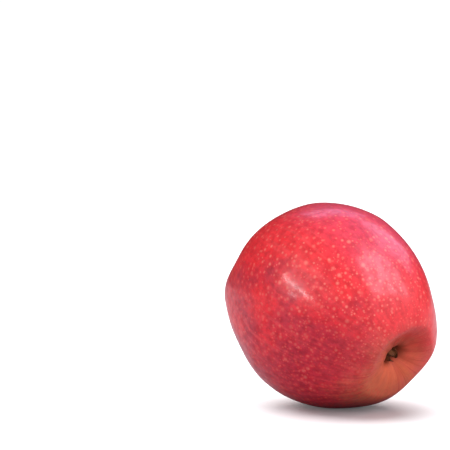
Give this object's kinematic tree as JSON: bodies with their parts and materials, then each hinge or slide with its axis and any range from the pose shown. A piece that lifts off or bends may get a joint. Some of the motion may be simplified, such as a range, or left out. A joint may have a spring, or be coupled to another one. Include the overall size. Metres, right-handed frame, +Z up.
{
  "type": "apple",
  "caption": "Ripe red apple lying on its side on a small flat spot, with a lobed calyx basin, dried sepals and a short stem in a wide stem cavity.",
  "frame": {"origin": "middle of the small flat spot on the fruit's side that it rests on", "axes": "+Z up; +X level, on the side that the calyx end points to; the core line lies in the XZ plane's direction and dips 30.3 degrees below +X"},
  "size_m": [0.086, 0.0726, 0.0772],
  "materials": {
    "skin": "waxy fruit skin, streaked and dotted",
    "bark": "dry stalk bark",
    "husk": "dried leaf",
    "thread": "dried filament"
  },
  "bodies": {
    "root": {"fruit": "skin", "stem": "bark", "sepal_1": "husk", "sepal_2": "husk", "sepal_3": "husk", "sepal_4": "husk", "sepal_5": "husk", "stamens": "thread"}
  },
  "joints": []
}
